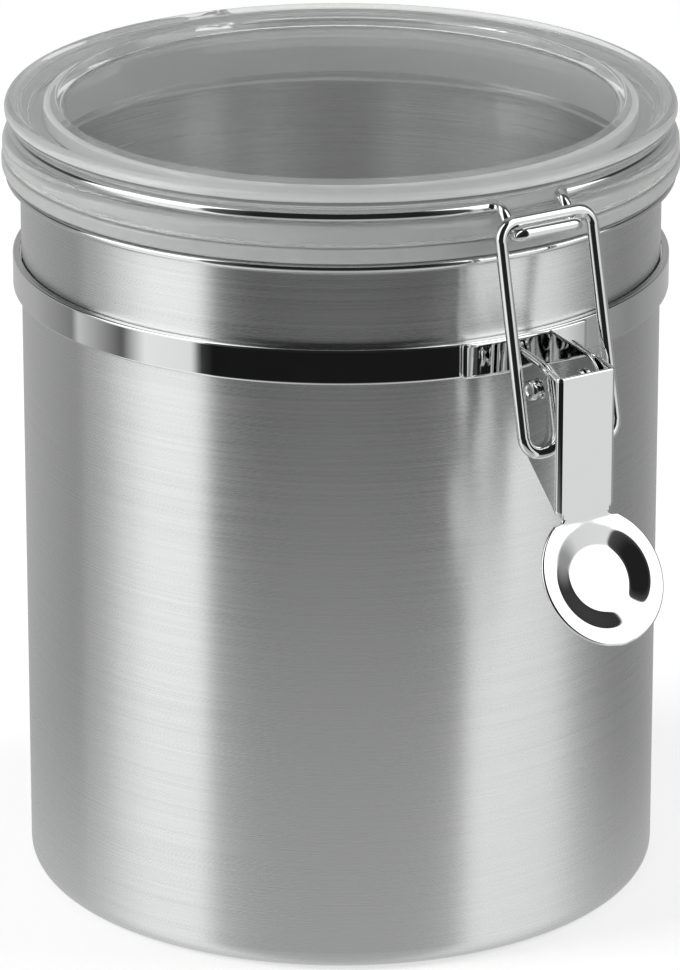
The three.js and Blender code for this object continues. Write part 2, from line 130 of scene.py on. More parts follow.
# Studio tones in reflections, as degrees round from the camera's side and grey level: for directions
# below the horizon, for the narrow band that upright mirrors show, and for directions above it
STUDIO_RADIUS, STUDIO_LEVEL = 20000.0, 1.6
HORIZON_LOW, HORIZON_HIGH = math.radians(4), math.radians(16)
ROOF_LOW, ROOF_HIGH, ROOF_TONE = math.radians(70), math.radians(78), 0.05
MIRROR_LEVEL, MIRROR_CORE, MIRROR_EDGE = math.radians(-18.7), 0.03, 0.07
GLOW_RADIUS, GLOW_SHIFT, GLOW_CORE, GLOW_EDGE, GLOW_SHARE = 520.0, 150.0, 90.0, 258.0, 0.58
GLOW_LEVEL = 0.8
LOW_TONES = (
    (-180, 0.34), (-150, 0.26), (-125, 0.24), (-104, 0.22), (-92, 0.32), (-84, 0.6), (-49, 0.6),
    (-46, 0.07), (-30, 0.01), (30, 0.01), (43.5, 0.05), (46, 0.5), (82, 0.46), (96, 0.21), (120, 0.16),
    (150, 0.2), (180, 0.34),
)
MIRROR_TONES = (
    (-180, 0.34), (-135, 0.26), (-108, 0.13), (-104.5, 0.36), (-88, 0.14), (-82, 0.06), (-72, 0.54),
    (-53, 0.5), (-50, 0.03), (-45, 0.006), (44, 0.006), (48, 0.05), (50, 0.5), (82, 0.46), (96, 0.21),
    (120, 0.16), (180, 0.34),
)
HIGH_TONES = (
    (-180, 0.22), (-150, 0.2), (-132, 0.05), (-100, 0.02), (-96, 1.0), (-50, 1.0), (-47.5, 0.06),
    (-30, 0.01), (30, 0.01), (43.5, 0.05), (46, 1.0), (100, 0.9), (104, 0.02), (132, 0.04),
    (150, 0.18), (180, 0.22),
)


def unit(vectors):
    """Vectors of length one along the last axis."""
    return vectors / np.maximum(np.linalg.norm(vectors, axis=-1, keepdims=True), 1e-12)


def smooth(low, high, values):
    """Smoothstep: 3t^2 - 2t^3 of the share t of the way from low to high."""
    share = np.clip((values - low) / (high - low), 0, 1)
    return share * share * (3 - 2 * share)


def arc(centre, radius, start, end, steps):
    """Points on a circle, centre + radius (cos a, sin a), evenly from start to end."""
    angle = np.linspace(start, end, steps + 1)
    return np.asarray(centre) + radius * np.stack([np.cos(angle), np.sin(angle)], -1)


def rounded(corners, steps=CORNER_STEPS):
    """An outline with round corners, from rows of x, y and radius. An arc's centre lies on the
    bisector of its corner at radius / sin(half the corner's angle), and the arc turns evenly from
    one touching point to the other. A point on the straight close to each end of an arc keeps flat
    faces flat in smooth shading."""
    corners = np.array(corners, float)
    at, radius = corners[:, :2], corners[:, 2:]
    back = unit(np.roll(at, 1, 0) - at)
    ahead = unit(np.roll(at, -1, 0) - at)
    half = np.arccos(np.clip((back * ahead).sum(1, keepdims=True), -1, 1)) / 2
    touch = radius / np.tan(half)
    centre = at + unit(back + ahead) * radius / np.sin(half)
    first = at + back * touch - centre
    last = at + ahead * touch - centre
    start = np.arctan2(first[:, 1], first[:, 0])
    turn = (np.arctan2(last[:, 1], last[:, 0]) - start + np.pi) % (2 * np.pi) - np.pi
    angle = start[:, None] + turn[:, None] * np.linspace(0, 1, steps + 1)
    ring = np.stack([np.cos(angle), np.sin(angle)], -1)
    curve = centre[:, None] + radius[:, None] * ring
    length = np.linalg.norm(np.roll(at, -1, 0) - at, axis=1, keepdims=True)
    margin = np.clip((length - touch - np.roll(touch, -1, 0)) / 4, 0, FLAT_MARGIN)
    bent = np.minimum(radius / FLAT_MARGIN, 1)
    before = curve[:, :1] + (back * bent * np.roll(margin, 1, 0))[:, None]
    after = curve[:, -1:] + (ahead * bent * margin)[:, None]
    return np.concatenate([before, curve, after], 1).reshape(-1, 2)


def patch(index):
    """Quads between neighbours in a two-dimensional array of point numbers."""
    return np.stack([index[:-1, :-1], index[1:, :-1], index[1:, 1:], index[:-1, 1:]], -1).reshape(-1, 4)


def wrapped(index, rows, columns):
    """The same array with its first row or column repeated at the end, to close a surface."""
    if rows:
        index = np.concatenate([index, index[:1]], 0)
    if columns:
        index = np.concatenate([index, index[:, :1]], 1)
    return index


def numbered(grid):
    """A grid of points as a plain list, with the array of their numbers."""
    return grid.reshape(-1, 3), np.arange(grid.shape[0] * grid.shape[1]).reshape(grid.shape[:2])


def turned(outline, closed, steps=240):
    """An outline of radius and height turned about Z: (r cos a, r sin a, z). An outline that doesn't
    close on itself begins and ends on the axis."""
    angle = np.linspace(0, 2 * np.pi, steps, endpoint=False)
    radius, height = outline.T
    grid = np.stack([
        np.outer(radius, np.cos(angle)),
        np.outer(radius, np.sin(angle)),
        np.outer(height, np.ones(steps)),
    ], -1)
    points, index = numbered(grid)
    return points, patch(wrapped(index, closed, True))


def drawn(route, sides=20):
    """A round wire on a route: at each point a ring lies across the route, with one axis level
    (tangent x Z) and the other square to both. Both ends close with a dome, whose rings shrink as
    cos b while they move out by the wire's radius times sin b."""
    tangent = unit(np.gradient(route, axis=0))
    dome = np.linspace(np.pi / 2, 0, 6)
    ends = [route[i] + side * WIRE * np.sin(b)[:, None] * tangent[i]
            for i, side, b in ((0, -1, dome[:-1]), (-1, 1, dome[-2::-1]))]
    route = np.concatenate([ends[0], route, ends[1]])
    pad = len(dome) - 1
    radius = np.full(len(route), WIRE)
    radius[:pad] = WIRE * np.cos(dome[:-1])
    radius[-pad:] = radius[pad - 1::-1]
    tangent = np.concatenate([np.repeat(tangent[:1], pad, 0), tangent, np.repeat(tangent[-1:], pad, 0)])
    level = unit(np.cross(tangent, [0, 0, 1]))
    across = np.cross(level, tangent)
    angle = np.linspace(0, 2 * np.pi, sides, endpoint=False)[:, None]
    ring = np.cos(angle) * level[:, None] + np.sin(angle) * across[:, None]
    points, index = numbered(route[:, None] + radius[:, None, None] * ring)
    return points, patch(wrapped(index, False, True))


def pressed(points, quads, thickness=SHEET, steps=4):
    """Sheet metal on a middle surface. Each point moves half the thickness along its normal to both
    sides, and every edge that belongs to one quad only is closed by a half round: outwards by
    t/2 cos b and along the normal by t/2 sin b, with b from a right angle to minus a right angle."""
    half = thickness / 2
    face = np.cross(points[quads[:, 2]] - points[quads[:, 0]], points[quads[:, 3]] - points[quads[:, 1]])
    normal = np.zeros_like(points)
    np.add.at(normal, quads, face[:, None])
    normal = unit(normal)
    edges = np.stack([quads, np.roll(quads, -1, 1)], -1).reshape(-1, 2)
    _, place, count = np.unique(np.sort(edges, 1), axis=0, return_inverse=True, return_counts=True)
    border = edges[count[place.ravel()] == 1]
    outward = np.zeros_like(points)
    side = np.cross(points[border[:, 1]] - points[border[:, 0]], normal[border[:, 0]])
    np.add.at(outward, border, unit(side)[:, None])
    outward = unit(outward)
    total = len(points)
    rim = np.unique(border)
    turn = np.linspace(np.pi / 2, -np.pi / 2, steps + 1)[1:-1, None, None]
    rings = points[rim] + half * (np.cos(turn) * outward[rim] + np.sin(turn) * normal[rim])
    place = np.searchsorted(rim, border)
    levels = [border, *(2 * total + k * len(rim) + place for k in range(steps - 1)), border + total]
    strips = [np.stack([a[:, 0], a[:, 1], b[:, 1], b[:, 0]], -1) for a, b in zip(levels, levels[1:])]
    body = np.concatenate([points + half * normal, points - half * normal, rings.reshape(-1, 3)])
    return body, np.concatenate([quads, quads[:, ::-1] + total, *strips])


def together(*shells):
    """Several shells as one list of points and one of quads."""
    counts = np.cumsum([0] + [len(points) for points, _ in shells[:-1]])
    return (np.concatenate([points for points, _ in shells]),
            np.concatenate([quads + count for (_, quads), count in zip(shells, counts)]))


def at_side(distance, x, height, side):
    """Points from the distance to the can's axis, the place along X and the height, in front or rear."""
    distance, x, height = np.broadcast_arrays(distance, x, height)
    return np.stack([x, side * distance, height], -1)


def mirrored(route):
    """The whole of a route from the half at positive X, which begins in the middle or ends there."""
    return np.concatenate([(route * [-1, 1, 1])[::-1], route])


def edged(count, margin=0.02):
    """Shares from 0 to 1 with a narrow first and last step, so that edges don't tint flat faces."""
    return np.concatenate([[0], np.linspace(margin, 1 - margin, count), [1]])


def body_shell():
    """The drawn can: wall, rounded base and flared rim as one outline turned about Z."""
    return turned(rounded([
        (0, 0, 0), (BODY_RADIUS, 0, BASE_ROUND), (BODY_RADIUS, BODY_TOP - RIM_LIP, RIM_FLARE),
        (RIM_RADIUS, BODY_TOP - RIM_LIP, RIM_ROUND), (RIM_RADIUS, BODY_TOP, RIM_ROUND),
        (BODY_INNER, BODY_TOP, MOUTH_ROUND), (BODY_INNER, BODY_WALL, BASE_ROUND_INNER), (0, BODY_WALL, 0),
    ]), False)


def neck_band():
    """The strap: a rectangle with rounded outer edges turned about Z."""
    return turned(rounded([
        (BAND_INNER, BAND_LOW, BAND_ROUND_INNER), (BAND_OUTER, BAND_LOW, BAND_ROUND),
        (BAND_OUTER, BAND_HIGH, BAND_ROUND), (BAND_INNER, BAND_HIGH, BAND_ROUND_INNER),
    ]), True)


def lid():
    """The moulded lid: edge, wire groove, bead, plug and recessed window as one outline turned about Z."""
    return turned(rounded([
        (0, WINDOW_LOW, 0), (PLUG_INNER, WINDOW_LOW, PLUG_ROUND_TOP), (PLUG_INNER, BODY_TOP, 0),
        (PLUG_INNER, PLUG_LOW, PLUG_ROUND_INNER), (PLUG_OUTER, PLUG_LOW, PLUG_ROUND_OUTER),
        (PLUG_OUTER, BODY_TOP, 0), (PLUG_OUTER, LID_LOW, LID_CORNER),
        (BEAD_RADIUS, LID_LOW, BEAD_ROUND_LOW), (BEAD_RADIUS, BEAD_HIGH, BEAD_ROUND_HIGH),
        (GROOVE_RADIUS, BEAD_HIGH, LID_CORNER), (GROOVE_RADIUS, GROOVE_HIGH, LID_CORNER),
        (EDGE_RADIUS, GROOVE_HIGH, EDGE_ROUND), (EDGE_RADIUS, LID_HIGH, EDGE_ROUND),
        (WINDOW_RADIUS + WINDOW_SLOPE, LID_HIGH, WINDOW_ROUND_HIGH),
        (WINDOW_RADIUS, WINDOW_HIGH, WINDOW_ROUND_LOW), (0, WINDOW_HIGH, 0),
    ]), False)


def lid_gasket():
    """The sealing ring: a rounded rectangle turned about Z."""
    return turned(rounded([
        (GASKET_INNER, GASKET_LOW, GASKET_ROUND_INNER), (GASKET_RADIUS, GASKET_LOW, GASKET_ROUND_LOW),
        (GASKET_RADIUS, GASKET_HIGH, GASKET_ROUND_HIGH), (GASKET_INNER, GASKET_HIGH, GASKET_ROUND_INNER),
    ]), True)


def loop_side(side):
    """One side wire of a loop towards +Y, from its level end into the ring, as x, distance and height.
    Seen from the side it turns up round the bail's seat and follows a circle about the bead's centre;
    seen from above it then bends into the ring's circle."""
    bend = np.array([side + RING_BEND, math.sqrt((RING_RADIUS + RING_BEND) ** 2 - (side + RING_BEND) ** 2)])
    leave = arc(bend, RING_BEND, -np.pi, math.atan2(-bend[1], -bend[0]), 14)
    seat = arc(BAIL_SEAT, SEAT_RADIUS, 1.5 * np.pi, np.pi + HUG_END, 14)
    hug = arc(BEAD_CENTRE, HUG_RADIUS, HUG_END, math.acos((leave[0, 1] - BEAD_CENTRE[0]) / HUG_RADIUS), 14)
    rise = np.concatenate([seat, hug[1:-1]])
    over = np.maximum(leave[:, 1] - BEAD_CENTRE[0], 0)
    level = BEAD_CENTRE[1] + np.sqrt(HUG_RADIUS ** 2 - over ** 2)
    return np.concatenate([
        at_side(rise[:, 0], side, rise[:, 1], REAR),
        at_side(leave[:, 1], leave[:, 0], level, REAR),
    ])


def lid_wire():
    """The ring wire: half of the front loop with its side wire, the ring, and the rear side wire with
    half of the hinge bar, mirrored at X. The front loop's round corner is wrapped up round the bail's
    seat, by an angle of the length along it over the seat's radius, and makes a hook."""
    lip = arc((LOOP_SIDE - LOOP_LIP, 0), LOOP_LIP, np.pi / 2, 0, 12)
    turn = 1.5 * np.pi + lip[:, 1] / SEAT_RADIUS
    hook = BAIL_SEAT + SEAT_RADIUS * np.stack([np.cos(turn), np.sin(turn)], -1)
    front = loop_side(LOOP_SIDE)[1:] * [1, -1, 1]
    rear = loop_side(HINGE_SIDE)[::-1]
    ring = arc((0, 0), RING_RADIUS, math.atan2(front[-1, 1], front[-1, 0]),
               math.atan2(rear[0, 1], rear[0, 0]), 160)[1:-1]
    corner = arc((HINGE_SIDE - RING_BEND, HINGE_REACH - RING_BEND), RING_BEND, 0, np.pi / 2, 12)
    return drawn(mirrored(np.concatenate([
        at_side(hook[:, 0], lip[:, 0], hook[:, 1], FRONT),
        front,
        at_side(ring[:, 1], ring[:, 0], RING_HEIGHT, REAR),
        rear,
        at_side(corner[:, 1], corner[:, 0], LOOP_HEIGHT, REAR),
        at_side([HINGE_REACH], [BUTT_HALF + WIRE], LOOP_HEIGHT, REAR),
    ])))


def bail_wire():
    """The bail: a flat frame of a bar, two legs and two pins, laid on the line from the lever's
    holes to the seat."""
    rise = BAIL_SEAT - BAIL_HOLE
    length = np.linalg.norm(rise)
    bend = BAIL_SIDE - BAIL_BEND
    half = np.concatenate([
        arc((bend, length - BAIL_BEND), BAIL_BEND, np.pi / 2, 0, 14),
        arc((bend, BAIL_BEND), BAIL_BEND, 0, -np.pi / 2, 14),
        [(BAIL_PIN_END + WIRE, 0)],
    ])
    place = BAIL_HOLE + half[:, 1:] * rise / length
    return drawn(mirrored(at_side(place[:, 0], half[:, 0], place[:, 1], FRONT)))


def notch(distance):
    """Half the width of the round relief notch at a distance along the lever from the bend."""
    return np.sqrt(np.maximum(NOTCH_RADIUS ** 2 - distance ** 2, 0))


def lever_tab(share, top):
    """The finger tab below the face, as rows across it. Going down the tab by s from the bend line,
    half the width is what the notches leave, then the disc's sqrt(R^2 - y^2); a dish with a straight
    slope and soft edges is pressed in by its radius; and the sheet turns from upright to the tilt on
    an arc at the bend."""
    down = np.concatenate([np.linspace(0, TAB_BEND, 18)[1:], TAB_BEND + edged(110)[1:] * (
        TAB_REACH + TAB_RADIUS - TAB_TIP - TAB_BEND)])
    y = TAB_REACH - down
    circle = np.sqrt(np.maximum(TAB_RADIUS ** 2 - y ** 2, 0))
    width = np.where(down < NOTCH_RADIUS, LEVER_HALF - notch(down), circle) - SHEET / 2
    x = share[:, None] * np.maximum(width, TAB_LEAST)
    slope = (DISH_RADIUS - np.hypot(x, y)) / (DISH_RADIUS - DISH_FLOOR)
    soft = np.hypot(slope, DISH_SOFTNESS) - np.hypot(slope - 1, DISH_SOFTNESS)
    dish = -DISH_DEPTH * (soft + 1) / 2
    turn = np.clip(down / TAB_BEND, 0, 1) * TAB_TILT
    step = np.diff(np.concatenate([[0], down]))
    middle = (turn + np.concatenate([[0], turn[:-1]])) / 2
    n = top[0] + np.cumsum(step * np.sin(middle)) + dish * np.cos(turn)
    z = top[1] - np.cumsum(step * np.cos(middle)) + dish * np.sin(turn)
    return at_side(n, x, z, FRONT)


def latch_lever():
    """The lever: a channel of flange, corner, face, corner and flange, as rows down its length, with
    a pocket pressed into each flange round the rivet, and the finger tab below its face. The lower
    edge follows the round notches at the corners."""
    face, half = LEVER_FACE - SHEET / 2, LEVER_HALF - SHEET / 2
    v = edged(60)
    split = (LEVER_TOP - HEEL[1]) / (LEVER_TOP - LEVER_BEND)
    foot = np.array([face - LEVER_CORNER - FLANGE_FOOT, LEVER_BEND + NOTCH_RADIUS + SHEET / 2])
    upper = FLANGE_TOP + np.clip(v / split, 0, 1)[:, None] * (HEEL - FLANGE_TOP)
    lower = np.clip((v - split) / (1 - split), 0, 1)[:, None] * (foot - HEEL)
    back = upper + lower + [SHEET / 2, 0]
    top = LEVER_TOP - SHEET / 2
    edge = top - v * (top - LEVER_BEND - NOTCH_RADIUS)
    u = edged(40)[:-1, None]
    flange_n = back[:, 0] + u * (face - LEVER_CORNER - back[:, 0])
    flange_z = back[:, 1] + u * (edge - back[:, 1])
    front = POCKET_FRONT + (LEVER_TOP - flange_z) * POCKET_SLOPE
    beyond = np.hypot(np.maximum(flange_n - POCKET_CENTRE[0], 0), np.minimum(flange_z - POCKET_CENTRE[1], 0))
    pocket = (1 - smooth(*POCKET_EDGE, flange_n - front)) * (1 - smooth(*POCKET_RADII, beyond))
    flange = at_side(flange_n, -half + POCKET_DEPTH * pocket, flange_z, FRONT)
    bend = arc((-half + LEVER_CORNER, face - LEVER_CORNER), LEVER_CORNER, np.pi, np.pi / 2, 8)
    share = np.sin(np.linspace(-1, 1, FACE_COLUMNS) * FACE_BUNCHING) / math.sin(FACE_BUNCHING)
    middle = FACE_COLUMNS // 2 + 1
    across = np.concatenate([bend[:-1, 0], (half - LEVER_CORNER) * share[:middle]])
    depth = np.concatenate([bend[:-1, 1], np.full(middle, face)])
    low = LEVER_BEND + notch(LEVER_HALF + across)
    front_left = at_side(depth[:, None], across[:, None], top - v * (top - low)[:, None], FRONT)
    left = np.concatenate([flange, front_left])
    right = (left[:-1] * [-1, 1, 1])[::-1]
    points, index = numbered(np.concatenate([left, right]))
    first = len(left) - middle
    tab = lever_tab(share, (face, LEVER_BEND))
    more = np.arange(tab.shape[0] * tab.shape[1]).reshape(tab.shape[:2]) + len(points)
    joined = np.concatenate([index[first:first + len(share), -1:], more], 1)
    return pressed(np.concatenate([points, tab.reshape(-1, 3)]),
                   np.concatenate([patch(index), patch(joined)]))


def band_strip(half_angle, side):
    """A strip of sheet on the strap: the strap's circle over an angle, by its height."""
    angle = (edged(24) * 2 - 1) * (half_angle - SHEET / 2 / BAND_OUTER)
    radius = BAND_OUTER + FIT + SHEET / 2
    height = BAND_LOW + SHEET / 2 + edged(8, 0.06) * (BAND_HIGH - BAND_LOW - SHEET)
    grid = at_side((radius * np.cos(angle))[:, None], (radius * np.sin(angle))[:, None], height, side)
    points, index = numbered(grid)
    return pressed(points, patch(index))


def bracket_ear(side):
    """An ear: upright lines at each distance from the can, from a lower to an upper edge, which run
    straight from the strap's edges to a circle about the pivot and follow it to the end."""
    half = EAR_SHEET / 2
    end = PIVOT[0] + EAR_ROUND - half - EAR_TIP
    n = EAR_ROOT + np.sin(np.linspace(0, 1, 60) * np.pi / 2) * (end - EAR_ROOT)
    circle = np.sqrt(np.maximum((EAR_ROUND - half) ** 2 - (n - PIVOT[0]) ** 2, EAR_LEAST ** 2))
    share = np.clip((n - EAR_ROOT) / (PIVOT[0] - EAR_ROOT), 0, 1)
    top = np.where(n < PIVOT[0], BAND_HIGH - half + share * (PIVOT[1] + EAR_ROUND - BAND_HIGH),
                   PIVOT[1] + circle)
    low = np.where(n < PIVOT[0], BAND_LOW + half + share * (PIVOT[1] - EAR_ROUND - BAND_LOW),
                   PIVOT[1] - circle)
    z = low[:, None] + edged(12, 0.04) * (top - low)[:, None]
    points, index = numbered(at_side(n[:, None], side * (EAR_OUTER - EAR_INSET - half), z, FRONT))
    return pressed(points, patch(index), EAR_SHEET)


def latch_bracket():
    """The welded plate on the strap with its two ears."""
    return together(band_strip(LATCH_WING, FRONT), bracket_ear(-1), bracket_ear(1))


def latch_rivet(side):
    """A rivet: shank, inner head and domed outer head as one outline turned about X at the pivot."""
    outline = rounded([
        (0, RIVET_INNER, 0), (RIVET_HEAD, RIVET_INNER, RIVET_EDGE), (RIVET_HEAD, RIVET_EAR, RIVET_EDGE),
        (RIVET_SHANK, RIVET_EAR, 0), (RIVET_SHANK, RIVET_SEAT, 0), (RIVET_HEAD, RIVET_SEAT, RIVET_SEAT_EDGE),
        (RIVET_HEAD, RIVET_END, RIVET_ROUND), (RIVET_DIMPLE_OUTER, RIVET_END, RIVET_EDGE),
        (RIVET_DIMPLE_INNER, RIVET_END - RIVET_DIMPLE, RIVET_EDGE), (0, RIVET_END - RIVET_DIMPLE, 0),
    ])
    points, quads = turned(outline, False, 40)
    place = np.stack([side * points[:, 2], points[:, 0] - PIVOT[0], points[:, 1] + PIVOT[1]], -1)
    return place, quads


def hinge_bracket():
    """The rear plate: a strip on the strap, and a leaf whose side line rises, leans out, stands up
    and curls round the hinge bar, carried across its width."""
    leaf = BAND_OUTER + FIT + SHEET / 2
    bends = rounded([
        (leaf, BAND_LOW + SHEET / 2, 0), (leaf, HINGE_BASE, HINGE_BEND_LOW),
        (HINGE_REACH - CURL_RADIUS, HINGE_UPRIGHT, HINGE_BEND_HIGH),
        (HINGE_REACH - CURL_RADIUS, HINGE_TOP, 0),
    ])[CORNER_STEPS + 2:-CORNER_STEPS - 2]
    curl = arc((HINGE_REACH, LOOP_HEIGHT), CURL_RADIUS, np.pi, np.pi - CURL_SWEEP, 40)
    line = np.concatenate([bends, curl])
    x = (edged(16) * 2 - 1) * (HINGE_HALF - SHEET / 2)
    points, index = numbered(at_side(line[:, :1], x, line[:, 1:], REAR))
    return together(band_strip(HINGE_WING, REAR), pressed(points, patch(index)))


def make_piece(name, shell, body, nodes, slot, *materials):
    """Puts a shell into a mesh in metres, merges its seams and poles, points its faces outwards and
    lets it stand for CAD nodes. Of the lid's materials, the second is for the window, the third for
    the plug inside the seal and the fourth for the plug's lower edge."""
    points, quads = shell
    mesh = bpy.data.meshes.new(name)
    mesh.from_pydata((points * MM).tolist(), [], quads.tolist())
    work = bmesh.new()
    work.from_mesh(mesh)
    bmesh.ops.remove_doubles(work, verts=work.verts, dist=MERGE_DISTANCE)
    bmesh.ops.recalc_face_normals(work, faces=work.faces)
    work.to_mesh(mesh)
    work.free()
    mesh.polygons.foreach_set("use_smooth", np.ones(len(mesh.polygons), bool))
    for material in materials:
        mesh.materials.append(material)
    if len(materials) > 1:
        centre = np.empty(len(mesh.polygons) * 3)
        mesh.polygons.foreach_get("center", centre)
        reach = np.hypot(centre[0::3], centre[1::3])
        height = centre[2::3]
        inside = reach < PLUG_REACH * MM
        plug = inside & (height > BODY_TOP * MM) & (height < WINDOW_LOW * MM)
        edge = inside & (height < (PLUG_LOW + PLUG_EDGE) * MM)
        mesh.polygons.foreach_set("material_index", np.where(
            reach < WINDOW_RADIUS * MM, 1, 2 * plug + 3 * edge).astype(np.int32))
    piece = bpy.data.objects.new(name, mesh)
    bpy.context.scene.collection.objects.link(piece)
    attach(piece, body)
    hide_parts(*nodes)


def new_material(name):
    """A node material, with its nodes, its links and its Principled shader."""
    material = bpy.data.materials.new(name)
    material.use_nodes = True
    nodes, links = material.node_tree.nodes, material.node_tree.links
    return material, nodes, links, nodes["Principled BSDF"]


def grain_group():
    """Brushing: noise drawn out along level lines, as a fine and a broad layer. Puts out a streak mask
    about one half and a height."""
    group = bpy.data.node_groups.new("brushed_grain", "ShaderNodeTree")
    face = group.interface
    for name, default in (("Fine Lines", 5200.0), ("Broad Lines", 620.0), ("Length", 14.0)):
        face.new_socket(name, in_out="INPUT", socket_type="NodeSocketFloat").default_value = default
    for name in ("Streaks", "Height"):
        face.new_socket(name, in_out="OUTPUT", socket_type="NodeSocketFloat")
    nodes, links = group.nodes, group.links
    source, target = nodes.new("NodeGroupInput"), nodes.new("NodeGroupOutput")
    place = nodes.new("ShaderNodeTexCoord")
    layers = []
    for lines in ("Fine Lines", "Broad Lines"):
        stretch = nodes.new("ShaderNodeCombineXYZ")
        links.new(source.outputs["Length"], stretch.inputs["X"])
        links.new(source.outputs["Length"], stretch.inputs["Y"])
        links.new(source.outputs[lines], stretch.inputs["Z"])
        scaled = nodes.new("ShaderNodeVectorMath")
        scaled.operation = "MULTIPLY"
        links.new(place.outputs["Object"], scaled.inputs[0])
        links.new(stretch.outputs["Vector"], scaled.inputs[1])
        noise = nodes.new("ShaderNodeTexNoise")
        noise.inputs["Scale"].default_value = 1.0
        noise.inputs["Detail"].default_value = 3.0
        links.new(scaled.outputs["Vector"], noise.inputs["Vector"])
        layers.append(noise)
    blend = nodes.new("ShaderNodeMix")
    blend.inputs[0].default_value = 0.22
    links.new(layers[0].outputs["Fac"], blend.inputs[2])
    links.new(layers[1].outputs["Fac"], blend.inputs[3])
    links.new(blend.outputs[0], target.inputs["Streaks"])
    links.new(layers[0].outputs["Fac"], target.inputs["Height"])
    return group


def brushed_steel(grain):
    """Brushed stainless steel: long level streaks vary the tone, the roughness and a faint bump. The
    rolled lip, further out than the wall, is polished."""
    material, nodes, links, shader = new_material("brushed_steel")
    streaks = nodes.new("ShaderNodeGroup")
    streaks.node_tree = grain
    tone = nodes.new("ShaderNodeValToRGB")
    tone.color_ramp.elements[0].position = STREAK_LOW
    tone.color_ramp.elements[0].color = STEEL_DARK
    tone.color_ramp.elements[1].position = STREAK_HIGH
    tone.color_ramp.elements[1].color = STEEL_PALE
    links.new(streaks.outputs["Streaks"], tone.inputs["Fac"])
    links.new(tone.outputs["Color"], shader.inputs["Base Color"])
    rough = nodes.new("ShaderNodeMapRange")
    rough.inputs["From Min"].default_value = STREAK_LOW
    rough.inputs["From Max"].default_value = STREAK_HIGH
    rough.inputs["To Min"].default_value = STEEL_SMOOTH
    rough.inputs["To Max"].default_value = STEEL_ROUGH
    links.new(streaks.outputs["Streaks"], rough.inputs["Value"])
    place = nodes.new("ShaderNodeTexCoord")
    flat = nodes.new("ShaderNodeVectorMath")
    flat.operation = "MULTIPLY"
    flat.inputs[1].default_value = (1, 1, 0)
    links.new(place.outputs["Object"], flat.inputs[0])
    reach = nodes.new("ShaderNodeVectorMath")
    reach.operation = "LENGTH"
    links.new(flat.outputs["Vector"], reach.inputs[0])
    lip = nodes.new("ShaderNodeMapRange")
    lip.inputs["From Min"].default_value = POLISH_START * MM
    lip.inputs["From Max"].default_value = POLISH_FULL * MM
    links.new(reach.outputs["Value"], lip.inputs["Value"])
    finish = nodes.new("ShaderNodeMix")
    links.new(lip.outputs["Result"], finish.inputs[0])
    links.new(rough.outputs["Result"], finish.inputs[2])
    finish.inputs[3].default_value = LIP_ROUGH
    links.new(finish.outputs[0], shader.inputs["Roughness"])
    bump = nodes.new("ShaderNodeBump")
    bump.inputs["Strength"].default_value = 0.05
    bump.inputs["Distance"].default_value = 0.0001
    links.new(streaks.outputs["Height"], bump.inputs["Height"])
    links.new(bump.outputs["Normal"], shader.inputs["Normal"])
    tangent = nodes.new("ShaderNodeTangent")
    tangent.direction_type = "RADIAL"
    tangent.axis = "Z"
    links.new(tangent.outputs["Tangent"], shader.inputs["Tangent"])
    shader.inputs["Metallic"].default_value = 1.0
    shader.inputs["Anisotropic"].default_value = 0.97
    shader.inputs["Anisotropic Rotation"].default_value = 0.25
    return material


def bright_steel(name, roughness):
    """Polished, plated steel: near-mirror, with faint smears in its roughness."""
    material, nodes, links, shader = new_material(name)
    smear = nodes.new("ShaderNodeTexNoise")
    smear.inputs["Scale"].default_value = 160.0
    smear.inputs["Detail"].default_value = 4.0
    place = nodes.new("ShaderNodeTexCoord")
    links.new(place.outputs["Object"], smear.inputs["Vector"])
    rough = nodes.new("ShaderNodeMapRange")
    rough.inputs["From Min"].default_value = 0.35
    rough.inputs["From Max"].default_value = 0.75
    rough.inputs["To Min"].default_value = roughness
    rough.inputs["To Max"].default_value = roughness + CHROME_SMEAR
    links.new(smear.outputs["Fac"], rough.inputs["Value"])
    links.new(rough.outputs["Result"], shader.inputs["Roughness"])
    shader.inputs["Base Color"].default_value = CHROME_TONE
    shader.inputs["Metallic"].default_value = 1.0
    return material


def clear_acrylic(name, roughness, clarity, tone):
    """Clear moulded acrylic: fine moulding waves in its surface, and the more haze the less clarity."""
    material, nodes, links, shader = new_material(name)
    place = nodes.new("ShaderNodeTexCoord")
    wave = nodes.new("ShaderNodeTexNoise")
    wave.inputs["Scale"].default_value = 70.0
    wave.inputs["Detail"].default_value = 1.0
    links.new(place.outputs["Object"], wave.inputs["Vector"])
    bump = nodes.new("ShaderNodeBump")
    bump.inputs["Strength"].default_value = 0.05
    bump.inputs["Distance"].default_value = 0.0004
    links.new(wave.outputs["Fac"], bump.inputs["Height"])
    links.new(bump.outputs["Normal"], shader.inputs["Normal"])
    rough = nodes.new("ShaderNodeMapRange")
    rough.inputs["To Min"].default_value = roughness * 0.6
    rough.inputs["To Max"].default_value = roughness * 1.4
    links.new(wave.outputs["Fac"], rough.inputs["Value"])
    links.new(rough.outputs["Result"], shader.inputs["Roughness"])
    shader.inputs["Base Color"].default_value = (tone, tone * 1.01, tone * 1.005, 1)
    shader.inputs["IOR"].default_value = ACRYLIC_IOR
    shader.inputs["Transmission Weight"].default_value = clarity
    return material


